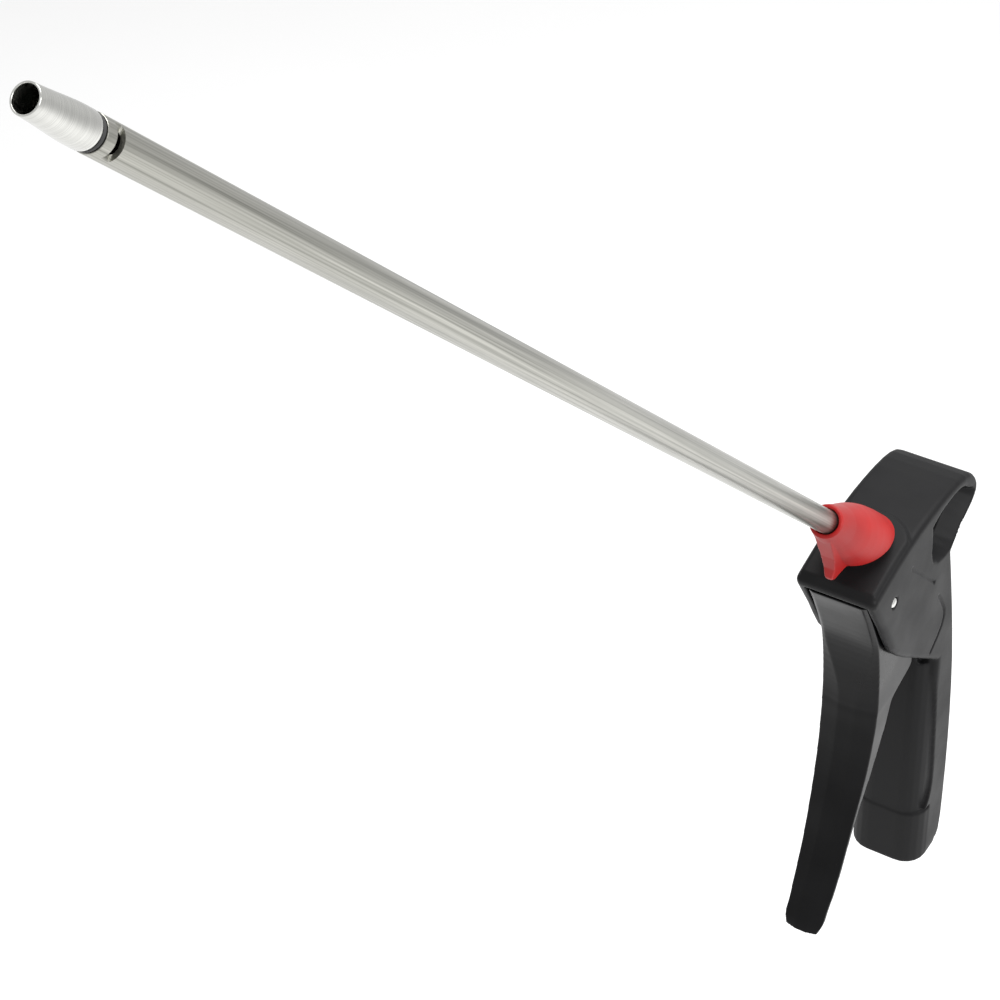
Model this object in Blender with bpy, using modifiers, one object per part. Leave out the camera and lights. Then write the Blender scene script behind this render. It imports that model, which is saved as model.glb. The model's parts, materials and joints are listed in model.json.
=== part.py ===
"""Compressed-air blow gun with a long straight nozzle, as an assembly of separate solids.

Frame: metres, +Z up, +X forward. The origin is the centre of the air inlet's mouth, on the bottom face
of the grip. The gun is symmetric about the XZ plane. The nozzle leans forward at NOZZLE_LEAN from +Z.
"""

import math

import bmesh
import bpy
from mathutils import Matrix, Vector

MM = 0.001

# Driving dimensions, in millimetres.
HALF_WIDTH = 15.0
EDGE_ROUND = 2.0
NOZZLE_LEAN = math.radians(45.0)
NOZZLE_START = Vector((80.0, 0.0, 218.0))
TUBE_RADIUS = 4.0
TUBE_BORE_RADIUS = 2.9
TUBE_TOP = 448.8
TUBE_BOTTOM = -62.2
MOUTH = 469.1
SOCKET_RADIUS = 7.5
SOCKET_BOTTOM = -64.0
SOCKET_TOP = -30.0
PIVOT = Vector((53.2, 0.0, 168.9))
PIN_RADIUS = 1.85
PIN_HALF_LENGTH = 15.2
VALVE_HEIGHT = 148.0
VALVE_BORE_RADIUS = 5.7
VALVE_BLOCK_FRONT = 38.0
STEM_RADIUS = 2.0
STEM_TIP = 45.4
OUTLET_X = 28.0
SLOT_INNER = 7.8
SLOT_OUTER = 11.4
CAVITY_HALF_WIDTH = 11.6
GRIP_HALF_WIDTH = 13.6
GRIP_FRONT = 11.2
FOOT_HEIGHT = 27.0
PAD_HEIGHT = 1.3
PAD_CHAMFER = 1.2
PAD_CENTRE_X = 48.5
PAD_REAR_RADIUS = 15.3
PAD_ARC_START = 112.0
INLET_RADIUS = 9.1
INLET_DEPTH = 14.0
COLLAR_BASE_HEIGHT = 190.6
COLLAR_BORE_RADIUS = 4.3
SLEEVE_END = -55.9
FIN_HALF_THICKNESS = 3.2
LEVER_WALL = 2.4
FACET_TOP = 148.0
FACET_FULL = 116.0
GAP = 0.3

# Corners in the side view of the hook's hole, and of the floor and the mouth of the scoop on each side of it.
HOOK_HOLE = [
    (24.5, 181.4), (16.0, 183.6), (4.0, 183.2), (-3.4, 179.8), (-6.2, 174.6), (2.0, 168.6), (12.0, 162.4),
    (19.0, 167.0),
]
SCOOP_FLOOR = [
    (23.3, 180.3), (15.8, 182.5), (4.4, 182.1), (-2.4, 178.6), (-5.1, 174.9), (2.3, 169.5), (12.0, 163.3),
    (18.2, 167.4),
]
SCOOP_MOUTH = [
    (24.0, 180.8), (15.9, 183.0), (4.2, 182.6), (-3.0, 179.2), (-11.8, 173.4), (-4.0, 164.4), (7.0, 158.6),
    (22.0, 163.0),
]

ROUND_STEPS = 24
SMALL_STEPS = 20
OVERCUT = 2.0

BARREL = Matrix.Translation(NOZZLE_START * MM) @ Matrix.Rotation(NOZZLE_LEAN, 4, "Y")
ALONG_X = Matrix.Translation((0.0, 0.0, VALVE_HEIGHT * MM)) @ Matrix.Rotation(math.radians(90.0), 4, "Y")
UPRIGHT = Matrix.Identity(4)
SIDE_PLANE = Matrix.Rotation(math.radians(90.0), 4, "X")


# Scene set-up -------------------------------------------------------------------------------------

def clear_scene():
    """Removes what the scene holds, so that the script can be run again."""
    for old in list(bpy.data.objects):
        bpy.data.objects.remove(old, do_unlink=True)
    for old in list(bpy.data.collections):
        bpy.data.collections.remove(old)


def new_collection(name):
    """A collection linked to the scene."""
    made = bpy.data.collections.new(name)
    bpy.context.scene.collection.children.link(made)
    return made


def new_material(name, colour, roughness, metallic):
    """A Principled material of one finish."""
    material = bpy.data.materials.new(name)
    material.use_nodes = True
    shader = material.node_tree.nodes["Principled BSDF"]
    shader.inputs["Base Color"].default_value = (*colour, 1.0)
    shader.inputs["Roughness"].default_value = roughness
    shader.inputs["Metallic"].default_value = metallic
    return material


clear_scene()
GUN = new_collection("blow_gun")
CUTTERS = new_collection("cutters")
BODY_BLACK = new_material("body_black", (0.05, 0.05, 0.055), 0.45, 0.0)
LEVER_BLACK = new_material("lever_black", (0.04, 0.04, 0.045), 0.3, 0.0)
COLLAR_RED = new_material("collar_red", (0.68, 0.03, 0.025), 0.35, 0.0)
STAINLESS = new_material("stainless", (0.6, 0.6, 0.57), 0.3, 1.0)
BRASS = new_material("brass", (0.75, 0.55, 0.25), 0.35, 1.0)
SEAL_BLACK = new_material("seal_black", (0.02, 0.02, 0.02), 0.7, 0.0)
WHITE_PLASTIC = new_material("white_plastic", (0.8, 0.8, 0.78), 0.5, 0.0)


# Shape helpers ------------------------------------------------------------------------------------

def link(name, mesh, matrix, material):
    """A new object in the gun's collection, or in the cutters' when it has no material."""
    made = bpy.data.objects.new(name, mesh)
    made.matrix_world = matrix
    if material is None:
        CUTTERS.objects.link(made)
        made.hide_render = True
        made.display_type = "WIRE"
    else:
        GUN.objects.link(made)
        mesh.materials.append(material)
    return made


def shade_round(mesh):
    """Smooth shading, with edges sharper than 35 degrees kept crisp."""
    mesh.shade_smooth()
    mesh.set_sharp_from_angle(angle=math.radians(35.0))


def evaluated_mesh(obj):
    """The object's shape with its modifiers applied, as a mesh of its own."""
    bpy.context.view_layer.update()
    graph = bpy.context.evaluated_depsgraph_get()
    return bpy.data.meshes.new_from_object(obj.evaluated_get(graph))


def settle(obj):
    """Replaces an object by a plain mesh object of the shape that its modifiers give it."""
    mesh = evaluated_mesh(obj)
    work = bmesh.new()
    work.from_mesh(mesh)
    bmesh.ops.remove_doubles(work, verts=work.verts, dist=0.0001 * MM)
    work.to_mesh(mesh)
    work.free()
    name = obj.name
    matrix = obj.matrix_world.copy()
    home = obj.users_collection[0]
    material = obj.data.materials[0] if obj.data.materials else None
    bpy.data.objects.remove(obj, do_unlink=True)
    made = bpy.data.objects.new(name, mesh)
    home.objects.link(made)
    made.matrix_world = matrix
    made.hide_render = material is None
    made.display_type = "WIRE" if material is None else "TEXTURED"
    return made


def smooth_path(points, steps):
    """Points along a Catmull-Rom curve through the given points, its first point included."""
    ends = [points[0], *points, points[-1]]
    path = []
    for before, start, end, after in zip(ends, ends[1:], ends[2:], ends[3:]):
        for step in range(steps):
            t = step / steps
            path.append(tuple(
                0.5 * (2 * b + (c - a) * t + (2 * a - 5 * b + 4 * c - d) * t * t
                       + (3 * b - a - 3 * c + d) * t ** 3)
                for a, b, c, d in zip(before, start, end, after)
            ))
    return path


def arc(centre, radius, start_deg, end_deg, steps):
    """Points on a circular arc, both ends included."""
    angles = [math.radians(start_deg + (end_deg - start_deg) * i / steps) for i in range(steps + 1)]
    return [(centre[0] + radius * math.cos(a), centre[1] + radius * math.sin(a)) for a in angles]


def merge_flat_faces(mesh):
    """Joins the triangles of each flat end into one face, so that a bevel runs evenly along it."""
    work = bmesh.new()
    work.from_mesh(mesh)
    bmesh.ops.dissolve_limit(
        work, angle_limit=math.radians(0.5), verts=work.verts, edges=work.edges, use_dissolve_boundaries=False,
    )
    work.to_mesh(mesh)
    work.free()


def slab(name, outline, low, high, matrix, material=None, bevel=0.0, bevel_steps=2):
    """A flat outline in mm, extruded from low to high along its plane's normal."""
    curve = bpy.data.curves.new(name, "CURVE")
    curve.dimensions = "2D"
    curve.fill_mode = "BOTH"
    curve.extrude = 0.5 * (high - low) * MM
    spline = curve.splines.new("POLY")
    spline.points.add(len(outline) - 1)
    for point, (u, v) in zip(spline.points, outline):
        point.co = (u * MM, v * MM, 0.0, 1.0)
    spline.use_cyclic_u = True
    middle = Matrix.Translation((0.0, 0.0, 0.5 * (low + high) * MM))
    made = settle(link(name, curve, matrix @ middle, material))
    if bevel > 0.0:
        merge_flat_faces(made.data)
        edge = made.modifiers.new("edges", "BEVEL")
        edge.width = bevel * MM
        edge.segments = bevel_steps
        edge.limit_method = "ANGLE"
        edge.angle_limit = math.radians(60.0)
        edge.use_clamp_overlap = False
        made = settle(made)
    return made


def side_slab(name, outline, half_width, material=None, bevel=0.0, bevel_steps=2):
    """An outline of (x, z) points in mm, extruded to both sides of the XZ plane."""
    return slab(name, outline, -half_width, half_width, SIDE_PLANE, material, bevel, bevel_steps)


def turned(name, profile, matrix, material=None, steps=ROUND_STEPS):
    """A profile of (radius, height) points in mm, turned about the matrix's Z axis.

    The profile runs down the outer side first. One that starts and ends on the axis is a solid;
    any other is closed to a ring.
    """
    mesh = bpy.data.meshes.new(name)
    closed = profile[0][0] > 0.0 or profile[-1][0] > 0.0
    edges = [(i, i + 1) for i in range(len(profile) - 1)]
    if closed:
        edges.append((len(profile) - 1, 0))
    mesh.from_pydata([(r * MM, 0.0, h * MM) for r, h in profile], edges, [])
    made = link(name, mesh, matrix, material)
    turn = made.modifiers.new("turn", "SCREW")
    turn.axis = "Z"
    turn.angle = math.radians(360.0)
    turn.steps = steps
    turn.render_steps = steps
    turn.use_merge_vertices = True
    turn.merge_threshold = 0.00001
    made = settle(made)
    shade_round(made.data)
    return made


def rod(name, radius, low, high, matrix, steps=ROUND_STEPS):
    """A plain cylinder to cut with, along the matrix's Z axis."""
    work = bmesh.new()
    bmesh.ops.create_cone(
        work, cap_ends=True, segments=steps, radius1=radius * MM, radius2=radius * MM,
        depth=(high - low) * MM, matrix=Matrix.Translation((0.0, 0.0, 0.5 * (low + high) * MM)),
    )
    mesh = bpy.data.meshes.new(name)
    work.to_mesh(mesh)
    work.free()
    return link(name, mesh, matrix, None)


def between(start, end):
    """A matrix whose Z axis runs from start towards end, and the distance in mm."""
    way = end - start
    turn = Vector((0.0, 0.0, 1.0)).rotation_difference(way).to_matrix().to_4x4()
    return Matrix.Translation(start * MM) @ turn, way.length


def combine(obj, other, operation):
    """Applies a Boolean with another object, which is used up."""
    change = obj.modifiers.new("shape", "BOOLEAN")
    change.operation = operation
    change.object = other
    change.solver = "EXACT"
    made = settle(obj)
    bpy.data.objects.remove(other, do_unlink=True)
    return made


def cut(obj, *cutters):
    """Takes each cutter out of the object."""
    for cutter in cutters:
        obj = combine(obj, cutter, "DIFFERENCE")
    return obj


def join(obj, *others):
    """Adds each of the others to the object."""
    for other in others:
        obj = combine(obj, other, "UNION")
    return obj


# Body ---------------------------------------------------------------------------------------------

def body_outline():
    """The body's side outline: plate, hook, crease, grip back, foot, grip front and skirt edge."""
    top_and_hook = [
        (70.0, 180.5), (53.0, 185.2), (36.0, 187.9), (18.0, 188.2), (3.0, 186.6), (-6.5, 183.4),
        (-12.2, 178.0), (-14.0, 172.4), (-10.5, 167.6), (-3.0, 163.4), (5.0, 157.0),
    ]
    grip_back = [(5.0, 157.0), (-1.5, 128.0), (-7.0, 98.0), (-10.2, 68.0), (-11.5, 38.0), (-11.3, 12.0)]
    foot = [(-11.3, 12.0), (-10.2, 4.0), (-8.0, 1.0), (6.0, 1.0), (8.0, 14.0), (8.0, 60.0)]
    skirt = [(8.0, 106.5), (22.0, 118.0), (34.0, 128.0), (43.0, 135.8), (51.0, 145.0), (60.0, 161.5)]
    return (
        smooth_path(top_and_hook, 2) + smooth_path(grip_back, 2) + foot
        + smooth_path([*skirt, (69.2, 177.2)], 2) + [(69.2, 177.2)]
    )


def rounded_section(rear, front, half_width, rear_round, front_round):
    """A grip section in the XY plane with rounded corners."""
    steps = 5
    side = half_width
    return (
        arc((front - front_round, side - front_round), front_round, 0.0, 90.0, steps)
        + arc((rear + rear_round, side - rear_round), rear_round, 90.0, 180.0, steps)
        + arc((rear + rear_round, rear_round - side), rear_round, 180.0, 270.0, steps)
        + arc((front - front_round, front_round - side), front_round, 270.0, 360.0, steps)
    )


def body_shell():
    """The body's outer form: head, grip with its stepped front, and flared foot."""
    body = side_slab("body_casing", body_outline(), HALF_WIDTH, BODY_BLACK, EDGE_ROUND, 3)
    pocket = [(9.6, 108.5), (6.2, 85.5), (3.8, 60.0), (2.7, 42.0), (4.2, 33.0), (7.5, 28.0)]
    outside = [(40.0, 28.0), (40.0, 108.5)]
    body = cut(body, side_slab("pocket_cutter", smooth_path(pocket, 2) + [pocket[-1]] + outside, 20.0))
    below_pocket = [(3.0, -OVERCUT), (40.0, -OVERCUT), (40.0, 28.4), (3.0, 28.4)]
    body = cut(body, side_slab("foot_cutter", below_pocket, 20.0))
    grip = slab(
        "grip_core", rounded_section(-4.0, GRIP_FRONT, GRIP_HALF_WIDTH, 3.0, 8.0), 6.0, 116.0, UPRIGHT,
    )
    foot = slab(
        "foot_core", rounded_section(-10.6, 11.5, HALF_WIDTH - 0.1, 6.0, 9.0), 0.0, FOOT_HEIGHT, UPRIGHT,
        bevel=1.0,
    )
    return join(body, grip, foot)


def plate_pad():
    """The raised pad round the collar: it follows the plate, and its rear end is round."""
    plate = smooth_path([(68.6, 181.0), (53.0, 185.2), (36.0, 187.9), (24.0, 188.1)], 4)
    raised = [(x, z + PAD_HEIGHT) for x, z in plate]
    sunk = [(x, z - 2.0 * PAD_HEIGHT) for x, z in reversed(plate)]
    pad = side_slab("plate_pad", raised + sunk, HALF_WIDTH)
    side = PAD_REAR_RADIUS * math.sin(math.radians(PAD_ARC_START))
    footprint = arc((PAD_CENTRE_X, 0.0), PAD_REAR_RADIUS, PAD_ARC_START, 360.0 - PAD_ARC_START, 14)
    outline = [*footprint, (75.0, -side), (75.0, side)]
    pad = combine(pad, slab("pad_footprint", outline, 170.0, 200.0, UPRIGHT), "INTERSECT")
    edge = pad.modifiers.new("edges", "BEVEL")
    edge.width = PAD_CHAMFER * MM
    edge.segments = 1
    edge.limit_method = "ANGLE"
    edge.angle_limit = math.radians(60.0)
    return settle(pad)


def lever_cavity():
    """The open space between the skirts, in front of the valve block and below the plate."""
    front = [
        (VALVE_BLOCK_FRONT, 90.0), (VALVE_BLOCK_FRONT, 162.0), (41.0, 165.0), (56.5, 180.2),
        (76.0, 174.6), (76.0, 90.0),
    ]
    return side_slab("cavity_cutter", front, CAVITY_HALF_WIDTH)


def flank_slot(side):
    """The slot beside the valve block that a flank of the lever swings into."""
    outline = [(8.0, 104.0), (8.0, 128.0), (30.5, 155.0), (39.5, 162.6), (39.5, 104.0)]
    plane = Matrix.Translation((0.0, side * 0.5 * (SLOT_INNER + SLOT_OUTER) * MM, 0.0)) @ SIDE_PLANE
    half = 0.5 * (SLOT_OUTER - SLOT_INNER)
    return slab("flank_cutter", outline, -half, half, plane)


def hook_slot():
    """The hole that hangs the gun on a hook."""
    return side_slab("hook_cutter", hook_outline(HOOK_HOLE), 20.0)


def hook_outline(corners):
    """A smooth closed outline through the corners of the hook's hole."""
    return smooth_path([*corners, corners[0]], 3)


def hook_scoop(side):
    """The hollow that widens the hole towards one side, so that the bar behind it is rounded away."""
    work = bmesh.new()
    rings = []
    for corners, depth in ((SCOOP_FLOOR, 7.4), (SCOOP_MOUTH, HALF_WIDTH + 0.6)):
        rings.append([work.verts.new(Vector((x, side * depth, z)) * MM) for x, z in hook_outline(corners)])
    inner, outer = rings
    for i in range(len(inner)):
        j = (i + 1) % len(inner)
        work.faces.new((inner[i], inner[j], outer[j], outer[i]))
    work.faces.new(inner)
    work.faces.new(outer)
    bmesh.ops.recalc_face_normals(work, faces=work.faces)
    bmesh.ops.triangulate(work, faces=work.faces)
    mesh = bpy.data.meshes.new("hook_scoop")
    work.to_mesh(mesh)
    work.free()
    return link("hook_scoop", mesh, UPRIGHT, None)


def air_ways():
    """The bores: inlet socket, inlet channel, valve bore, spring chamber, outlet channel, socket."""
    channel, length = between(Vector((0.0, 0.0, INLET_DEPTH - OVERCUT)), Vector((11.0, 0.0, VALVE_HEIGHT)))
    return [
        rod("inlet_cutter", INLET_RADIUS, -OVERCUT, INLET_DEPTH, UPRIGHT),
        rod("strainer_cutter", 6.0, INLET_DEPTH - OVERCUT, INLET_DEPTH + 3.2, UPRIGHT),
        rod("channel_cutter", 3.0, 0.0, length, channel, SMALL_STEPS),
        rod("valve_cutter", VALVE_BORE_RADIUS, 17.6, VALVE_BLOCK_FRONT + 1.0, ALONG_X),
        rod("chamber_cutter", 4.7, 6.0, 17.6 + OVERCUT, ALONG_X),
        rod("outlet_cutter", 2.5, 148.0, 172.5, Matrix.Translation((OUTLET_X * MM, 0.0, 0.0)), SMALL_STEPS),
        rod("socket_cutter", SOCKET_RADIUS, SOCKET_BOTTOM, SOCKET_TOP, BARREL),
        rod("pin_cutter", PIN_RADIUS + GAP, -20.0, 20.0, Matrix.Translation(PIVOT * MM) @ SIDE_PLANE,
            SMALL_STEPS),
    ]


def make_body():
    """The one-piece moulded body."""
    body = join(body_shell(), plate_pad())
    body = cut(body, lever_cavity(), flank_slot(1.0), flank_slot(-1.0))
    body = cut(body, hook_scoop(1.0), hook_scoop(-1.0), hook_slot(), *air_ways())
    shade_round(body.data)
    return body


# Lever and pin ------------------------------------------------------------------------------------

def lever_section(height, front, rear, half_width):
    """One level of the lever: a channel open to the rear, outer side first, from +Y to -Y.

    The front is a flat middle facet with a sloping facet on each side, which fades out at the top.
    """
    fade = min(1.0, max(0.0, (FACET_TOP - height) / (FACET_TOP - FACET_FULL)))
    fade = fade * fade * (3.0 - 2.0 * fade)
    facet = (0.86 - 0.54 * fade) * half_width
    set_back = (0.08 + 0.09 * fade) * half_width
    inside = half_width - LEVER_WALL
    deep = min(front - LEVER_WALL, front - 0.5 * LEVER_WALL - set_back)
    back = min(rear, deep - 0.8)
    half = [(back, half_width), (front - set_back, half_width), (front, facet)]
    inner = [(deep, inside), (back, inside)]
    section = half + [(x, -y) for x, y in reversed(half)] + [(x, -y) for x, y in reversed(inner)] + inner
    return [Vector((x, y, height)) * MM for x, y in section]


def lever_levels():
    """The lever's levels from top to bottom: height, front, rear edge of the flanks, half width."""
    drawn = [
        (175.0, 68.0, 60.0, 10.9), (173.0, 67.0, 53.2, 10.9), (169.0, 64.9, 48.8, 10.9),
        (163.0, 62.0, 46.0, 10.9), (152.0, 57.2, 40.8, 10.9), (145.0, 55.0, 37.2, 10.9),
        (135.0, 53.6, 32.0, 10.9), (125.0, 53.0, 26.8, 10.9), (118.5, 52.8, 23.4, 10.9),
        (115.5, 52.8, 24.4, 10.9), (113.5, 52.8, 31.0, 10.9), (111.0, 53.0, 37.6, 10.8),
        (106.0, 53.3, 40.0, 10.7), (100.0, 54.0, 42.0, 10.5), (92.0, 55.2, 45.6, 10.2),
        (84.0, 57.0, 49.2, 9.9), (76.0, 59.3, 53.4, 9.5), (68.0, 62.0, 57.6, 9.1),
        (58.0, 65.4, 61.8, 8.7), (48.0, 69.4, 65.8, 8.4), (39.0, 73.8, 70.2, 8.1),
        (32.0, 77.8, 74.2, 7.6), (28.0, 80.4, 76.8, 7.5), (24.4, 81.9, 78.4, 6.2),
    ]
    return smooth_path(drawn, 3) + [drawn[-1]]


def make_lever():
    """The squeeze lever: a lofted channel, pierced for the pin, with a rib that pushes the stem."""
    work = bmesh.new()
    rings = [[work.verts.new(point) for point in lever_section(*level)] for level in lever_levels()]
    count = len(rings[0])
    for upper, lower in zip(rings, rings[1:]):
        for i in range(count):
            j = (i + 1) % count
            work.faces.new((upper[i], upper[j], lower[j], lower[i]))
    work.faces.new(list(reversed(rings[0])))
    work.faces.new(rings[-1])
    bmesh.ops.recalc_face_normals(work, faces=work.faces)
    mesh = bpy.data.meshes.new("trigger_lever")
    work.to_mesh(mesh)
    work.free()
    lever = link("trigger_lever", mesh, UPRIGHT, LEVER_BLACK)
    rib = side_slab(
        "rib", [(STEM_TIP + GAP, 146.4), (54.0, 144.0), (56.0, 152.0), (STEM_TIP + GAP, 149.8)], 2.2,
    )
    lever = join(lever, rib)
    hole = rod("lever_hole", PIN_RADIUS + GAP, -20.0, 20.0, Matrix.Translation(PIVOT * MM) @ SIDE_PLANE,
               SMALL_STEPS)
    lever = cut(lever, hole)
    lever.data.transform(Matrix.Translation(PIVOT * -MM))
    lever.location = PIVOT * MM
    return lever


def make_pin():
    """The pivot pin, with slightly domed ends."""
    end = PIN_HALF_LENGTH
    half = [(0.0, end), (1.1, end - 0.15), (PIN_RADIUS, end - 0.6)]
    profile = half + [(r, -h) for r, h in reversed(half)]
    turned("pivot_pin", profile, Matrix.Translation(PIVOT * MM) @ SIDE_PLANE, STAINLESS, SMALL_STEPS)


# Valve --------------------------------------------------------------------------------------------

def ring(name, major, minor, height, matrix, material):
    """An O-ring of round section."""
    circle = arc((major, height), minor, 90.0, -240.0, 11)
    return turned(name, circle, matrix, material, SMALL_STEPS)


def make_valve():
    """The valve in the bore behind the lever: gland, stem with its head, seat, seals and spring."""
    front = VALVE_BLOCK_FRONT
    gland = turned("gland_nut", [
        (5.4, front + GAP + 0.2), (5.4, 30.6), (2.35, 30.6), (2.35, 34.6), (4.0, 34.6), (4.0, 37.2),
        (2.35, 37.2), (2.35, front + 2.4), (5.0, front + 2.4),
    ], ALONG_X, BRASS)
    head_outline = arc((0.0, 0.0), 7.0, 0.0, 300.0, 5)
    head = slab("gland_head", head_outline, front + GAP, front + 2.8, ALONG_X)
    head = cut(head, rod("gland_bore", 2.35, front - OVERCUT, front + 5.0, ALONG_X))
    shade_round(join(gland, head).data)
    ring("plunger_o_ring", 3.05, 0.7, 35.9, ALONG_X, SEAL_BLACK)
    turned("seat_bush", [
        (5.4, 26.0), (5.4, 24.8), (3.9, 24.8), (3.9, 22.8), (5.4, 22.8), (5.4, 21.5), (2.9, 21.5),
        (2.9, 26.0),
    ], ALONG_X, BRASS)
    ring("seat_o_ring", 4.8, 0.6, 23.8, ALONG_X, SEAL_BLACK)
    plunger = turned("valve_plunger", [
        (0.0, STEM_TIP), (1.2, STEM_TIP - 0.3), (STEM_RADIUS, STEM_TIP - 1.2), (STEM_RADIUS, 19.8),
        (4.0, 19.8), (4.0, 17.6), (1.9, 17.6), (1.9, 15.6), (0.0, 15.6),
    ], ALONG_X, STAINLESS, SMALL_STEPS)
    plunger.name = "valve_plunger"
    turned("poppet_seal", [(4.0, 21.2), (4.0, 20.1), (2.3, 20.1), (2.3, 21.2)], ALONG_X, SEAL_BLACK,
           SMALL_STEPS)
    make_spring()


def make_spring():
    """The coil spring behind the valve's head, with its coils along X."""
    turns, per_turn, low, high, radius, wire = 5, 10, 6.8, 16.8, 3.4, 0.45
    curve = bpy.data.curves.new("valve_spring", "CURVE")
    curve.dimensions = "3D"
    curve.bevel_depth = wire * MM
    curve.bevel_resolution = 2
    curve.use_fill_caps = True
    spline = curve.splines.new("POLY")
    count = turns * per_turn + 1
    spline.points.add(count - 1)
    for i, point in enumerate(spline.points):
        angle = 2.0 * math.pi * i / per_turn
        along = low + (high - low) * i / (count - 1)
        point.co = (radius * math.cos(angle) * MM, radius * math.sin(angle) * MM, along * MM, 1.0)
    settle(link("valve_spring", curve, ALONG_X, STAINLESS))


# Inlet --------------------------------------------------------------------------------------------

def make_inlet():
    """The threaded brass bush in the foot, and the strainer above it."""
    outer = INLET_RADIUS - GAP
    turned("inlet_insert", [
        (outer, INLET_DEPTH - GAP), (outer, 0.0), (6.6, 0.0), (5.8, 0.9), (5.8, INLET_DEPTH - GAP),
    ], UPRIGHT, BRASS, 28)
    low = INLET_DEPTH + 0.1
    turned("inlet_strainer", [
        (0.0, low + 2.7), (2.6, low + 2.7), (5.6, low + 1.2), (5.6, low), (4.9, low), (4.9, low + 0.8),
        (2.2, low + 1.9), (0.0, low + 1.9),
    ], UPRIGHT, STAINLESS, SMALL_STEPS)


# Nozzle socket, collar and nozzle -----------------------------------------------------------------

def make_socket():
    """What holds the nozzle: brass liner, O-ring, support ring and grab ring."""
    turned("socket_liner", [
        (7.2, -52.2), (7.2, -63.7), (3.0, -63.7), (3.0, -62.6), (6.1, -62.6), (6.1, -52.2),
    ], BARREL, BRASS)
    ring("tube_o_ring", 5.1, 0.7, -61.0, BARREL, SEAL_BLACK)
    turned("support_ring", [(5.75, -58.9), (5.75, -59.9), (4.4, -59.9), (4.4, -58.9)], BARREL,
           WHITE_PLASTIC)
    turned("grab_ring", [(5.75, -58.2), (5.75, -58.6), (4.35, -58.1), (4.35, -57.7)], BARREL, STAINLESS)


def make_collar():
    """The red release collar: a turned cone cut level at its base, a thumb fin and a thin sleeve."""
    inner = COLLAR_BORE_RADIUS
    collar = turned("release_collar", [
        (5.4, 0.3), (5.7, 0.0), (6.4, -4.0), (7.4, -10.0), (8.5, -15.0), (9.5, -20.0), (10.2, -25.0),
        (10.7, -30.0), (11.0, -38.0), (11.0, -62.0), (inner, -62.0), (inner, 0.3),
    ], BARREL, COLLAR_RED, 56)
    # The fin stands on the front side of the cone, in its middle plane.
    fin_plane = BARREL @ Matrix.Rotation(math.radians(90.0), 4, "X")
    fin_outline = [
        (5.5, -2.6), (7.4, -7.5), (10.2, -14.5), (13.4, -20.0), *arc((14.6, -23.6), 2.0, 60.0, -75.0, 6),
        (11.6, -27.6), (6.0, -33.0), (5.5, -20.0),
    ]
    fin = slab("fin", fin_outline, -FIN_HALF_THICKNESS, FIN_HALF_THICKNESS, fin_plane)
    taper_plane = BARREL @ Matrix.Rotation(math.radians(90.0), 4, "Z")
    taper_side = [(3.1, -4.0), (2.9, -8.0), (2.5, -11.0), (2.0, -13.5), (1.7, -15.0)]
    tip_round = arc((0.0, -15.1), 1.68, 188.0, 352.0, 8)
    taper = [(-x, y) for x, y in taper_side] + tip_round + taper_side[::-1]
    fin = combine(fin, slab("fin_taper", taper, -40.0, 2.0, taper_plane), "INTERSECT")
    trim = [(20.0, 150.0), (90.0, 150.0), (90.0, COLLAR_BASE_HEIGHT), (20.0, COLLAR_BASE_HEIGHT)]
    collar = cut(collar, side_slab("base_cutter", trim, 20.0))
    collar = join(collar, fin)
    sleeve = turned("sleeve", [(5.6, -25.0), (5.6, SLEEVE_END), (inner, SLEEVE_END), (inner, -25.0)], BARREL)
    collar = join(collar, sleeve)
    shade_round(collar.data)
    return collar


def make_nozzle():
    """The long tube, the jet inside its air slots, the dark ring and the tapered tip."""
    tube = turned("nozzle_tube", [
        (TUBE_RADIUS, TUBE_TOP), (TUBE_RADIUS, TUBE_BOTTOM), (TUBE_BORE_RADIUS, TUBE_BOTTOM),
        (TUBE_BORE_RADIUS, TUBE_TOP),
    ], BARREL, STAINLESS, 32)
    for side in (1.0, -1.0):
        plane = BARREL @ Matrix.Rotation(math.radians(90.0), 4, "Y")
        outline = [(-445.8, side * 2.0), (-443.1, side * 2.0), (-443.1, side * 6.0), (-445.8, side * 6.0)]
        if side < 0.0:
            outline.reverse()
        tube = cut(tube, slab("air_slot", outline, -6.0, 6.0, plane))
    shade_round(tube.data)
    turned("jet_insert", [
        (0.9, 444.2), (1.8, 443.6), (2.55, 440.0), (2.55, 428.0), (1.9, 428.0), (0.6, 440.0), (0.6, 444.2),
    ], BARREL, STAINLESS, SMALL_STEPS)
    turned("tip_ring", [
        (TUBE_RADIUS, 450.1), (TUBE_RADIUS, 449.1), (2.9, 449.1), (2.9, 450.1),
    ], BARREL, SEAL_BLACK)
    turned("nozzle_tip", [
        (2.75, MOUTH), (3.1, MOUTH), (3.25, MOUTH - 0.4), (3.5, 464.0), (3.8, 459.0), (TUBE_RADIUS, 454.0),
        (TUBE_RADIUS, 450.4), (2.6, 450.4), (2.6, 445.2), (2.1, 445.2), (2.1, 463.0),
    ], BARREL, STAINLESS, 32)


make_body()
make_lever()
make_pin()
make_valve()
make_inlet()
make_socket()
make_collar()
make_nozzle()
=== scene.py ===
"""Looks of a compressed-air blow gun with a long straight nozzle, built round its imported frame."""

import json
import logging
import math
from dataclasses import dataclass, field
from enum import Enum

import bmesh
import bpy
import numpy as np
from mathutils import Matrix, Vector


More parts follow.
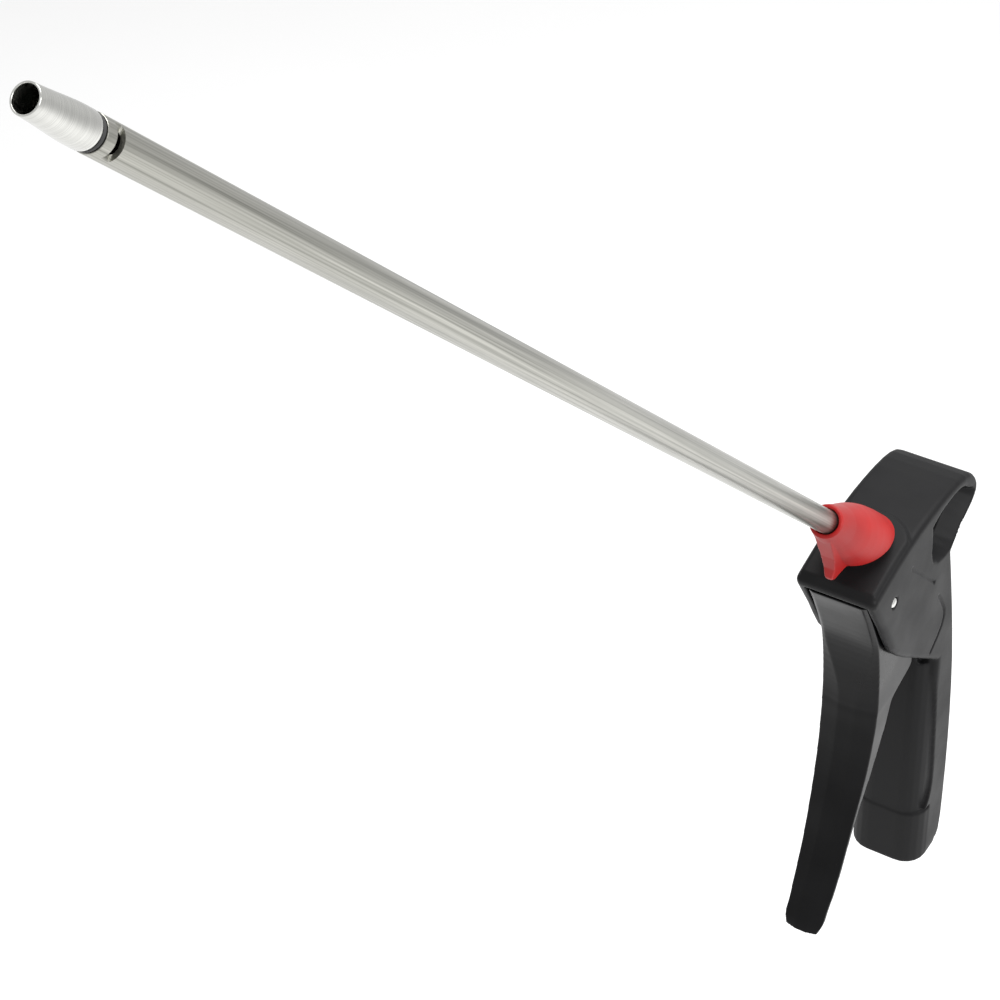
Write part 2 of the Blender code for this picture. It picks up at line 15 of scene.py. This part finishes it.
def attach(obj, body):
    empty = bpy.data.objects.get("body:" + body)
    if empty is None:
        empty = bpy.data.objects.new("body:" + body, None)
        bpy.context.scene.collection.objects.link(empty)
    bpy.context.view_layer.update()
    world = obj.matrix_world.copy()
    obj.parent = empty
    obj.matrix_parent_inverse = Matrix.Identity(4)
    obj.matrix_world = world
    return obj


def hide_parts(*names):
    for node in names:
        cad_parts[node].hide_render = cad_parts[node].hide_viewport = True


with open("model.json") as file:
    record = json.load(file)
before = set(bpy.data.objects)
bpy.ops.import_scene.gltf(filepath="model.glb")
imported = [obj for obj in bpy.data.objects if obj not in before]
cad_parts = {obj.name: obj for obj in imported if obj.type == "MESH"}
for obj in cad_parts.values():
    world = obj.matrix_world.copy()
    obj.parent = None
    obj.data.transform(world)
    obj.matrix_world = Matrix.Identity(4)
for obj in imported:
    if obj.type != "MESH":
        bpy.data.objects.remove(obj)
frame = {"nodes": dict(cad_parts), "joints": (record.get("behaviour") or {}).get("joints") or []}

LOG = logging.getLogger("blow_gun")
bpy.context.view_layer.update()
MM = 0.001
TURNED_SHARP = math.radians(38.0)
TUBE_SHARP = math.radians(30.0)
WELD = 0.001 * MM

Colour = tuple[float, float, float]
Outline = list[tuple[float, float]]


# The frame's own places --------------------------------------------------------------------------

def joint_named(name: str) -> dict:
    """Finds one of the frame's joints.

    Args:
        name: The joint's name.

    Returns:
        The joint as the record states it.
    """
    return next(joint for joint in frame["joints"] if joint["name"] == name)


def barrel_matrix() -> Matrix:
    """The barrel's own frame: its Z axis runs along the nozzle, from the collar's lip to the mouth."""
    turn = joint_named("nozzle_turn")
    axis = Vector(turn["axis"])
    lean = Vector((0.0, 0.0, 1.0)).rotation_difference(axis).to_matrix().to_4x4()
    return Matrix.Translation(Vector(turn["pos_m"])) @ lean


BARREL = barrel_matrix()
PIVOT = Vector(joint_named("lever_swing")["pos_m"])


# Mesh tools --------------------------------------------------------------------------------------

class MeshTools:
    """Small mesh operations that more than one sub-assembly uses."""

    @staticmethod
    def link(name: str, mesh: bpy.types.Mesh, matrix: Matrix | None = None) -> bpy.types.Object:
        """Makes an object of a mesh.

        Args:
            name: The new object's name.
            mesh: Its mesh.
            matrix: Where it stands; at the origin if None.

        Returns:
            The object, linked to the scene.
        """
        made = bpy.data.objects.new(name, mesh)
        bpy.context.scene.collection.objects.link(made)
        if matrix is not None:
            made.matrix_world = matrix
        return made

    @staticmethod
    def copy_node(node: str, name: str) -> bpy.types.Object:
        """Copies a frame node's mesh, welded, into a piece of its own.

        Args:
            node: The node to copy.
            name: The new piece's name.

        Returns:
            The new piece.
        """
        work = bmesh.new()
        work.from_mesh(frame["nodes"][node].data)
        bmesh.ops.remove_doubles(work, verts=work.verts, dist=WELD)
        mesh = bpy.data.meshes.new(name)
        work.to_mesh(mesh)
        work.free()
        return MeshTools.link(name, mesh)

    @staticmethod
    def settle(piece: bpy.types.Object) -> bpy.types.Object:
        """Applies a piece's modifiers and its place.

        Args:
            piece: The piece, which keeps its name.

        Returns:
            The same piece with a plain mesh in the row frame.
        """
        bpy.context.view_layer.update()
        graph = bpy.context.evaluated_depsgraph_get()
        mesh = bpy.data.meshes.new_from_object(piece.evaluated_get(graph))
        mesh.transform(piece.matrix_world)
        piece.modifiers.clear()
        piece.data = mesh
        piece.matrix_world = Matrix.Identity(4)
        return piece

    @staticmethod
    def mould(piece: bpy.types.Object, voxel: float, passes: int, keep: float) -> bpy.types.Object:
        """Rounds every edge of a piece the way a mould does, by a fine remesh and smoothing.

        Args:
            piece: The piece to round.
            voxel: The remesh's cell in metres.
            passes: How many times the surface is smoothed.
            keep: The share of the faces that is kept afterwards.

        Returns:
            The piece, with its modifiers applied.
        """
        fine = piece.modifiers.new("fine", "REMESH")
        fine.mode = "VOXEL"
        fine.voxel_size = voxel
        soft = piece.modifiers.new("soft", "SMOOTH")
        soft.factor = 0.5
        soft.iterations = passes
        if keep < 1.0:
            fewer = piece.modifiers.new("fewer", "DECIMATE")
            fewer.ratio = keep
        MeshTools.settle(piece)
        piece.data.shade_smooth()
        return piece

    @staticmethod
    def turned(name: str, profile: Outline, matrix: Matrix, steps: int = 96) -> bpy.types.Object:
        """Turns a closed profile about the matrix's Z axis.

        Args:
            name: The piece's name.
            profile: Points of (radius, height) in mm, down the outer side first.
            matrix: The frame that it is turned in.
            steps: The number of steps round.

        Returns:
            The piece, closed and smooth.
        """
        mesh = bpy.data.meshes.new(name)
        count = len(profile)
        edges = [(i, (i + 1) % count) for i in range(count)]
        if profile[0][0] == 0.0 and profile[-1][0] == 0.0:
            edges.pop()
        mesh.from_pydata([(radius * MM, 0.0, height * MM) for radius, height in profile], edges, [])
        piece = MeshTools.link(name, mesh, matrix)
        turn = piece.modifiers.new("turn", "SCREW")
        turn.axis = "Z"
        turn.angle = math.radians(360.0)
        turn.steps = steps
        turn.render_steps = steps
        turn.use_merge_vertices = True
        turn.merge_threshold = 0.00001
        MeshTools.settle(piece)
        piece.data.shade_smooth()
        piece.data.set_sharp_from_angle(angle=TURNED_SHARP)
        return piece

    @staticmethod
    def rounded(profile: Outline, radius: float, steps: int = 3) -> Outline:
        """Rounds the corners of a closed profile.

        Args:
            profile: Its corner points in mm.
            radius: The largest corner radius, cut down on short sides.
            steps: Points added for each corner.

        Returns:
            The profile with its corners rounded.
        """
        out: Outline = []
        count = len(profile)
        for i, corner in enumerate(profile):
            here = Vector(corner)
            before = Vector(profile[i - 1]) - here
            after = Vector(profile[(i + 1) % count]) - here
            reach = min(radius, 0.45 * before.length, 0.45 * after.length)
            if here.x == 0.0 or reach < 0.01:
                out.append(tuple(corner))
                continue
            start = here + before.normalized() * reach
            end = here + after.normalized() * reach
            for step in range(steps + 1):
                t = step / steps
                point = start * (1 - t) ** 2 + here * 2 * t * (1 - t) + end * t * t
                out.append((point.x, point.y))
        return out

    @staticmethod
    def subtract(piece: bpy.types.Object, cutter: bpy.types.Object) -> bpy.types.Object:
        """Cuts one piece with another, which is used up.

        Args:
            piece: The piece that is cut.
            cutter: The shape that is taken away.

        Returns:
            The cut piece.
        """
        change = piece.modifiers.new("cut", "BOOLEAN")
        change.operation = "DIFFERENCE"
        change.object = cutter
        change.solver = "EXACT"
        MeshTools.settle(piece)
        bpy.data.objects.remove(cutter, do_unlink=True)
        return piece


# Shader groups -----------------------------------------------------------------------------------

class Groups:
    """Shader node groups that the finishes share, each built once."""

    made: dict[str, bpy.types.NodeTree] = {}

    @classmethod
    def new_tree(cls, name: str, inputs: dict[str, float], outputs: list[str]) -> bpy.types.NodeTree:
        """Starts a group with float inputs and outputs.

        Args:
            name: The group's name.
            inputs: Each input's name and default.
            outputs: The outputs' names.

        Returns:
            The new group.
        """
        tree = bpy.data.node_groups.new(name, "ShaderNodeTree")
        for label, default in inputs.items():
            socket = tree.interface.new_socket(label, in_out="INPUT", socket_type="NodeSocketFloat")
            socket.default_value = default
        for label in outputs:
            tree.interface.new_socket(label, in_out="OUTPUT", socket_type="NodeSocketFloat")
        tree.nodes.new("NodeGroupInput").name = "In"
        tree.nodes.new("NodeGroupOutput").name = "Out"
        cls.made[name] = tree
        return tree

    @staticmethod
    def noise(tree: bpy.types.NodeTree, vector: bpy.types.NodeSocket, detail: float) -> bpy.types.Node:
        """Adds a noise texture that reads a vector.

        Args:
            tree: The group it goes in.
            vector: What it reads.
            detail: Its octaves.

        Returns:
            The noise node.
        """
        node = tree.nodes.new("ShaderNodeTexNoise")
        node.inputs["Detail"].default_value = detail
        tree.links.new(vector, node.inputs["Vector"])
        return node

    @classmethod
    def grain(cls) -> bpy.types.NodeTree:
        """Fine moulded grain: a height for the bump and a tone mask, in object space."""
        if "moulded_grain" in cls.made:
            return cls.made["moulded_grain"]
        defaults = {"Grain Scale": 2200.0, "Blotch Scale": 45.0}
        tree = cls.new_tree("moulded_grain", defaults, ["Height", "Tone"])
        place = tree.nodes.new("ShaderNodeTexCoord")
        source = tree.nodes["In"]
        sink = tree.nodes["Out"]
        fine = cls.noise(tree, place.outputs["Object"], 3.0)
        tree.links.new(source.outputs["Grain Scale"], fine.inputs["Scale"])
        tree.links.new(fine.outputs["Fac"], sink.inputs["Height"])
        blotch = cls.noise(tree, place.outputs["Object"], 5.0)
        tree.links.new(source.outputs["Blotch Scale"], blotch.inputs["Scale"])
        spread = tree.nodes.new("ShaderNodeMapRange")
        spread.inputs["From Min"].default_value = 0.35
        spread.inputs["From Max"].default_value = 0.65
        tree.links.new(blotch.outputs["Fac"], spread.inputs["Value"])
        tree.links.new(spread.outputs["Result"], sink.inputs["Tone"])
        return tree

    @classmethod
    def streaks(cls) -> bpy.types.NodeTree:
        """Brushing or turning marks along or round the barrel's axis, in object space."""
        if "tool_streaks" in cls.made:
            return cls.made["tool_streaks"]
        defaults = {"Across": 1500.0, "Along": 12.0, "Smudge Scale": 22.0}
        tree = cls.new_tree("tool_streaks", defaults, ["Height", "Streak", "Smudge"])
        source = tree.nodes["In"]
        sink = tree.nodes["Out"]
        place = tree.nodes.new("ShaderNodeTexCoord")
        turn = tree.nodes.new("ShaderNodeMapping")
        turn.vector_type = "POINT"
        turn.inputs["Rotation"].default_value = BARREL.to_3x3().inverted().to_euler()
        tree.links.new(place.outputs["Object"], turn.inputs["Vector"])
        size = tree.nodes.new("ShaderNodeCombineXYZ")
        tree.links.new(source.outputs["Across"], size.inputs["X"])
        tree.links.new(source.outputs["Across"], size.inputs["Y"])
        tree.links.new(source.outputs["Along"], size.inputs["Z"])
        stretch = tree.nodes.new("ShaderNodeVectorMath")
        stretch.operation = "MULTIPLY"
        tree.links.new(turn.outputs["Vector"], stretch.inputs[0])
        tree.links.new(size.outputs["Vector"], stretch.inputs[1])
        line = cls.noise(tree, stretch.outputs["Vector"], 4.0)
        line.inputs["Scale"].default_value = 1.0
        tree.links.new(line.outputs["Fac"], sink.inputs["Height"])
        spread = tree.nodes.new("ShaderNodeMapRange")
        spread.inputs["From Min"].default_value = 0.3
        spread.inputs["From Max"].default_value = 0.7
        tree.links.new(line.outputs["Fac"], spread.inputs["Value"])
        tree.links.new(spread.outputs["Result"], sink.inputs["Streak"])
        smudge = cls.noise(tree, place.outputs["Object"], 3.0)
        tree.links.new(source.outputs["Smudge Scale"], smudge.inputs["Scale"])
        tree.links.new(smudge.outputs["Fac"], sink.inputs["Smudge"])
        return tree


# Finishes ----------------------------------------------------------------------------------------

class Surface(Enum):
    """The kind of marks that a finish carries."""

    GRAIN = "moulded_grain"
    STREAKS = "tool_streaks"


@dataclass(frozen=True)
class Finish:
    """One surface finish: two tones, two roughnesses and the marks that mix them."""

    name: str
    dark: Colour
    light: Colour
    rough_low: float
    rough_high: float
    metallic: float = 0.0
    surface: Surface = Surface.GRAIN
    grain_scale: float = 2200.0
    blotch_scale: float = 45.0
    across: float = 1500.0
    along: float = 12.0
    bump: float = 0.08
    bump_depth: float = 0.00004
    ior: float = 1.5
    specular: float = 0.5

    def material(self) -> bpy.types.Material:
        """Builds the material, or finds it if it was built before."""
        found = bpy.data.materials.get(self.name)
        if found is not None:
            return found
        material = bpy.data.materials.new(self.name)
        material.use_nodes = True
        tree = material.node_tree
        shader = tree.nodes["Principled BSDF"]
        shader.inputs["Metallic"].default_value = self.metallic
        shader.inputs["IOR"].default_value = self.ior
        shader.inputs["Specular IOR Level"].default_value = self.specular
        marks = tree.nodes.new("ShaderNodeGroup")
        if self.surface is Surface.GRAIN:
            marks.node_tree = Groups.grain()
            marks.inputs["Grain Scale"].default_value = self.grain_scale
            marks.inputs["Blotch Scale"].default_value = self.blotch_scale
            tone, polish = marks.outputs["Tone"], marks.outputs["Tone"]
        else:
            marks.node_tree = Groups.streaks()
            marks.inputs["Across"].default_value = self.across
            marks.inputs["Along"].default_value = self.along
            tone, polish = marks.outputs["Streak"], marks.outputs["Smudge"]
        self.wire_colour(tree, shader, tone)
        self.wire_roughness(tree, shader, polish)
        bump = tree.nodes.new("ShaderNodeBump")
        bump.inputs["Strength"].default_value = self.bump
        bump.inputs["Distance"].default_value = self.bump_depth
        tree.links.new(marks.outputs["Height"], bump.inputs["Height"])
        tree.links.new(bump.outputs["Normal"], shader.inputs["Normal"])
        return material

    def wire_colour(
        self, tree: bpy.types.NodeTree, shader: bpy.types.Node, tone: bpy.types.NodeSocket
    ) -> None:
        """Mixes the two tones by a mask into the base colour.

        Args:
            tree: The material's tree.
            shader: Its Principled shader.
            tone: The mask.
        """
        mix = tree.nodes.new("ShaderNodeMix")
        mix.data_type = "RGBA"
        colours = [socket for socket in mix.inputs if socket.type == "RGBA"]
        colours[0].default_value = (*self.dark, 1.0)
        colours[1].default_value = (*self.light, 1.0)
        tree.links.new(tone, mix.inputs["Factor"])
        result = next(socket for socket in mix.outputs if socket.type == "RGBA")
        tree.links.new(result, shader.inputs["Base Color"])

    def wire_roughness(
        self, tree: bpy.types.NodeTree, shader: bpy.types.Node, polish: bpy.types.NodeSocket
    ) -> None:
        """Spreads a mask between the two roughnesses.

        Args:
            tree: The material's tree.
            shader: Its Principled shader.
            polish: The mask.
        """
        spread = tree.nodes.new("ShaderNodeMapRange")
        spread.inputs["To Min"].default_value = self.rough_low
        spread.inputs["To Max"].default_value = self.rough_high
        tree.links.new(polish, spread.inputs["Value"])
        tree.links.new(spread.outputs["Result"], shader.inputs["Roughness"])

    def dress(self, piece: bpy.types.Object) -> None:
        """Gives a piece this finish alone.

        Args:
            piece: A new piece, or a frame node that stays.
        """
        if piece.data.materials:
            for index in range(len(piece.data.materials)):
                piece.material_slots[index].material = self.material()
        else:
            piece.data.materials.append(self.material())


SATIN_BLACK = Finish(
    "satin_black_moulding", (0.006, 0.006, 0.0065), (0.009, 0.009, 0.0095), 0.44, 0.54,
    bump=0.3, specular=0.13,
)
LEVER_BLACK = Finish(
    "lever_black_moulding", (0.002, 0.002, 0.0022), (0.004, 0.004, 0.0044), 0.26, 0.34,
    grain_scale=1600.0, bump=0.08, specular=0.14,
)
COLLAR_RED = Finish(
    "collar_red_moulding", (0.26, 0.006, 0.006), (0.34, 0.010, 0.009), 0.38, 0.48,
    grain_scale=1800.0, bump=0.1, specular=0.26,
)
BRUSHED_STEEL = Finish(
    "brushed_stainless", (0.22, 0.22, 0.195), (0.47, 0.465, 0.425), 0.22, 0.38, metallic=1.0,
    surface=Surface.STREAKS, across=1800.0, along=9.0, bump=0.35, bump_depth=0.00002,
)
TURNED_STEEL = Finish(
    "turned_stainless", (0.46, 0.46, 0.44), (0.68, 0.68, 0.65), 0.14, 0.26, metallic=1.0,
    surface=Surface.STREAKS, across=40.0, along=4200.0, bump=0.25, bump_depth=0.00002,
)
PIN_STEEL = Finish(
    "pin_steel", (0.62, 0.62, 0.60), (0.78, 0.78, 0.76), 0.18, 0.30, metallic=1.0, grain_scale=3000.0,
    bump=0.1,
)
SPRING_WIRE = Finish(
    "spring_wire", (0.40, 0.40, 0.40), (0.58, 0.58, 0.57), 0.25, 0.40, metallic=1.0, grain_scale=2600.0,
)
BRASS = Finish(
    "machined_brass", (0.60, 0.40, 0.15), (0.76, 0.55, 0.24), 0.20, 0.34, metallic=1.0, grain_scale=1400.0,
    bump=0.12,
)
SEAL_RUBBER = Finish("seal_rubber", (0.010, 0.010, 0.010), (0.020, 0.020, 0.020), 0.55, 0.75, bump=0.3)
NATURAL_PLASTIC = Finish("natural_plastic", (0.62, 0.61, 0.57), (0.72, 0.71, 0.68), 0.40, 0.55, bump=0.15)


# Sub-assemblies ----------------------------------------------------------------------------------

@dataclass
class CasingBody:
    """The one-piece moulded body with its panel lines."""

    voxel: float = 0.00042
    passes: int = 7
    keep: float = 0.5
    side: float = 15.0
    side_band: float = 1.4
    line_depth: float = 0.6
    line_width: float = 0.62
    panel_lines: list[Outline] = field(default_factory=lambda: [
        [(40.1, 174.4), (29.7, 163.8), (19.0, 152.6)],
        [
            (13.6, 142.0), (11.5, 138.8), (8.4, 133.3), (7.2, 130.6), (7.0, 127.6), (8.2, 124.4),
            (11.6, 121.0), (16.8, 117.6),
        ],
    ])

    def press_lines(self, piece: bpy.types.Object) -> None:
        """Sinks the panel lines into both sides.

        Args:
            piece: The body's fine mesh.
        """
        mesh = piece.data
        count = len(mesh.vertices)
        points = np.empty(count * 3)
        mesh.vertices.foreach_get("co", points)
        points = points.reshape(count, 3)
        flat = points[:, [0, 2]] / MM
        outside = np.abs(points[:, 1]) > (self.side - self.side_band) * MM
        away = np.full(count, 1e9)
        for line in self.panel_lines:
            for start, end in zip(line, line[1:]):
                a = np.array(start)
                way = np.array(end) - a
                t = np.clip(((flat - a) @ way) / (way @ way), 0.0, 1.0)
                away = np.minimum(away, np.linalg.norm(flat - (a + t[:, None] * way), axis=1))
        sink = self.line_depth * np.exp(-((away / self.line_width) ** 2)) * outside
        points[:, 1] -= np.sign(points[:, 1]) * sink * MM
        mesh.vertices.foreach_set("co", points.reshape(-1))
        mesh.update()

    def build(self) -> bpy.types.Object:
        """Builds and dresses the body, and returns it."""
        piece = MeshTools.copy_node("body_casing", "casing_moulding")
        MeshTools.mould(piece, self.voxel, self.passes, 1.0)
        self.press_lines(piece)
        fewer = piece.modifiers.new("fewer", "DECIMATE")
        fewer.ratio = self.keep
        MeshTools.settle(piece)
        piece.data.shade_smooth()
        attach(piece, "body")
        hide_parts("body_casing")
        SATIN_BLACK.dress(piece)
        return piece


@dataclass
class SqueezeLever:
    """The squeeze lever, with softly rounded arrises."""

    voxel: float = 0.00036
    passes: int = 6
    keep: float = 0.4

    def build(self) -> bpy.types.Object:
        """Builds and dresses the lever, and returns it."""
        piece = MeshTools.copy_node("trigger_lever", "lever_moulding")
        MeshTools.mould(piece, self.voxel, self.passes, self.keep)
        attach(piece, "lever")
        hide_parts("trigger_lever")
        LEVER_BLACK.dress(piece)
        return piece


@dataclass
class ReleaseCollar:
    """The red collar with its thumb fin."""

    voxel: float = 0.00028
    passes: int = 4
    keep: float = 0.5

    def build(self) -> bpy.types.Object:
        """Builds and dresses the collar, and returns it."""
        piece = MeshTools.copy_node("release_collar", "collar_moulding")
        MeshTools.mould(piece, self.voxel, self.passes, self.keep)
        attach(piece, "collar")
        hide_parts("release_collar")
        COLLAR_RED.dress(piece)
        return piece


@dataclass
class LongNozzle:
    """The tube with its air slots, the dark ring and the tapered tip. Heights along the barrel."""

    tube_top: float = 448.8
    tube_bottom: float = -62.2
    outer: float = 4.0
    bore: float = 2.9
    slot_low: float = 443.1
    slot_high: float = 445.8
    slot_floor: float = 2.0
    slot_span: float = 4.0
    slot_reach: float = 12.0
    slot_edge: float = 0.5
    mouth: float = 469.1

    def build_tube(self) -> bpy.types.Object:
        """Builds the tube, with its two air slots cut."""
        profile = MeshTools.rounded([
            (self.outer, self.tube_top), (self.outer, self.tube_bottom),
            (self.bore, self.tube_bottom), (self.bore, self.tube_top),
        ], 0.25)
        tube = MeshTools.turned("nozzle_tube_fine", profile, BARREL)
        for side in (1.0, -1.0):
            tube = MeshTools.subtract(tube, self.slot_cutter(side))
        tube.data.shade_smooth()
        tube.data.set_sharp_from_angle(angle=TUBE_SHARP)
        return tube

    def slot_cutter(self, side: float) -> bpy.types.Object:
        """Makes the shape of one air slot: a bar with rounded ends across the tube's side.

        Args:
            side: 1 for the gun's left, -1 for its right.

        Returns:
            The cutter.
        """
        work = bmesh.new()
        bmesh.ops.create_cube(work, size=1.0)
        mesh = bpy.data.meshes.new("air_slot")
        work.to_mesh(mesh)
        work.free()
        middle = 0.5 * (self.slot_low + self.slot_high)
        size = Vector((self.slot_reach, self.slot_span, self.slot_high - self.slot_low)) * MM
        outward = side * (self.slot_floor + 0.5 * self.slot_span)
        place = Matrix.Translation((0.0, outward * MM, middle * MM))
        cutter = MeshTools.link("air_slot", mesh, BARREL @ place @ Matrix.Diagonal((*size, 1.0)))
        MeshTools.settle(cutter)
        edge = cutter.modifiers.new("edges", "BEVEL")
        edge.width = self.slot_edge * MM
        edge.segments = 3
        return MeshTools.settle(cutter)

    def build(self) -> list[bpy.types.Object]:
        """Builds and dresses the nozzle's pieces, and returns them."""
        tube = self.build_tube()
        ring = MeshTools.turned("tip_ring_fine", MeshTools.rounded([
            (self.outer - 0.15, 450.1), (self.outer - 0.15, 449.1), (self.bore, 449.1), (self.bore, 450.1),
        ], 0.2), BARREL)
        tip = MeshTools.turned("nozzle_tip_fine", MeshTools.rounded([
            (2.75, self.mouth), (3.15, self.mouth), (3.3, 466.0), (3.52, 462.4), (3.78, 458.6), (3.95, 455.6),
            (self.outer, 453.6), (self.outer, 450.4), (2.6, 450.4), (2.6, 445.2), (2.1, 445.2), (2.1, 462.0),
        ], 0.4), BARREL)
        pieces = [
            (tube, "nozzle_tube", "stainless_tube", BRUSHED_STEEL),
            (ring, "tip_ring", "seal_black", SEAL_RUBBER),
            (tip, "nozzle_tip", "stainless_turned", TURNED_STEEL),
        ]
        for piece, node, slot, finish in pieces:
            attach(piece, "nozzle")
            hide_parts(node)
            finish.dress(piece)
        return [piece for piece, _, _, _ in pieces]


@dataclass
class PivotPin:
    """The lever's pivot pin, with domed ends."""

    radius: float = 1.85
    half_length: float = 15.2

    def build(self) -> bpy.types.Object:
        """Builds and dresses the pin, and returns it."""
        end = self.half_length
        dome = [(0.0, end), (0.8, end - 0.06), (1.4, end - 0.25), (self.radius, end - 0.7)]
        profile = dome + [(radius, -height) for radius, height in reversed(dome)]
        lie = Matrix.Translation(PIVOT) @ Matrix.Rotation(math.radians(90.0), 4, "X")
        piece = MeshTools.turned("pivot_pin_fine", profile, lie, 48)
        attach(piece, "body")
        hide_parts("pivot_pin")
        PIN_STEEL.dress(piece)
        return piece


@dataclass(frozen=True)
class InnerWorks:
    """The frame's own pieces that stay as they are, each with its finish."""

    finishes: tuple[tuple[str, Finish], ...] = (
        ("gland_nut", BRASS), ("seat_bush", BRASS), ("inlet_insert", BRASS), ("socket_liner", BRASS),
        ("plunger_o_ring", SEAL_RUBBER), ("poppet_seal", SEAL_RUBBER), ("seat_o_ring", SEAL_RUBBER),
        ("tube_o_ring", SEAL_RUBBER), ("support_ring", NATURAL_PLASTIC), ("valve_plunger", TURNED_STEEL),
        ("inlet_strainer", PIN_STEEL), ("grab_ring", PIN_STEEL), ("jet_insert", TURNED_STEEL),
        ("valve_spring", SPRING_WIRE),
    )

    def dress(self) -> None:
        """Gives each piece its finish."""
        for node, finish in self.finishes:
            finish.dress(frame["nodes"][node])
            LOG.info("%s: %s", node, finish.name)


# Studio ------------------------------------------------------------------------------------------

@dataclass(frozen=True)
class Lamp:
    """A soft rectangular light that faces a point."""

    name: str
    place: tuple[float, float, float]
    power: float
    size: float

    def build(self, target: Vector) -> bpy.types.Object:
        """Makes the light.

        Args:
            target: The point that it faces.

        Returns:
            The light.
        """
        data = bpy.data.lights.new(self.name, "AREA")
        data.energy = self.power
        data.size = self.size
        lamp = bpy.data.objects.new(self.name, data)
        bpy.context.scene.collection.objects.link(lamp)
        lamp.location = self.place
        lamp.rotation_euler = (target - lamp.location).to_track_quat("-Z", "Y").to_euler()
        lamp.visible_camera = False
        return lamp


@dataclass
class Studio:
    """A pale floor, soft light and the camera."""

    floor_drop: float = 0.30
    floor_size: float = 12.0
    world_strength: float = 0.80
    camera_place: tuple[float, float, float] = (0.70539, 0.28426, 0.78700)
    camera_right: tuple[float, float, float] = (-0.52715, 0.84926, -0.02937)
    camera_up: tuple[float, float, float] = (-0.54990, -0.31458, 0.77372)
    lens: float = 99.0
    lamps: tuple[Lamp, ...] = (
        Lamp("key_panel", (0.25, 0.95, 0.75), 9.0, 0.6),
        Lamp("top_panel", (-0.3, 0.1, 1.2), 14.0, 0.8),
    )

    def build_floor(self) -> None:
        """Makes the floor, with a faint unevenness in its tone."""
        work = bmesh.new()
        bmesh.ops.create_grid(work, x_segments=8, y_segments=8, size=0.5 * self.floor_size)
        mesh = bpy.data.meshes.new("studio_floor")
        work.to_mesh(mesh)
        work.free()
        floor = MeshTools.link("studio_floor", mesh, Matrix.Translation((0.0, 0.0, -self.floor_drop)))
        paper = Finish("paper_white", (0.88, 0.88, 0.88), (0.90, 0.90, 0.90), 0.85, 0.95, bump=0.02,
                       grain_scale=300.0, blotch_scale=2.0)
        paper.dress(floor)

    def build_world(self) -> None:
        """Sets an even white surround."""
        world = bpy.data.worlds.new("studio_white")
        world.use_nodes = True
        shade = world.node_tree.nodes["Background"]
        shade.inputs["Color"].default_value = (1.0, 1.0, 1.0, 1.0)
        shade.inputs["Strength"].default_value = self.world_strength
        bpy.context.scene.world = world

    def build_camera(self) -> None:
        """Sets the camera at its place and turn."""
        data = bpy.data.cameras.new("studio_camera")
        data.lens = self.lens
        data.sensor_width = 36.0
        data.clip_start = 0.01
        camera = bpy.data.objects.new("studio_camera", data)
        bpy.context.scene.collection.objects.link(camera)
        right = Vector(self.camera_right).normalized()
        up = Vector(self.camera_up).normalized()
        back = right.cross(up).normalized()
        turn = Matrix((right, up, back)).transposed().to_4x4()
        camera.matrix_world = Matrix.Translation(self.camera_place) @ turn
        bpy.context.scene.camera = camera

    def build(self) -> None:
        """Builds the whole studio."""
        self.build_floor()
        self.build_world()
        for lamp in self.lamps:
            lamp.build(PIVOT)
        self.build_camera()
        bpy.context.scene.view_settings.view_transform = "Standard"


def main() -> None:
    """Builds the sub-assemblies in order and reports each one."""
    logging.basicConfig(level=logging.INFO)
    Studio().build()
    for assembly in (CasingBody(), SqueezeLever(), ReleaseCollar(), PivotPin()):
        piece = assembly.build()
        LOG.info("%s: %d faces", piece.name, len(piece.data.polygons))
    for piece in LongNozzle().build():
        LOG.info("%s: %d faces", piece.name, len(piece.data.polygons))
    InnerWorks().dress()


if __name__ == "__main__":
    main()
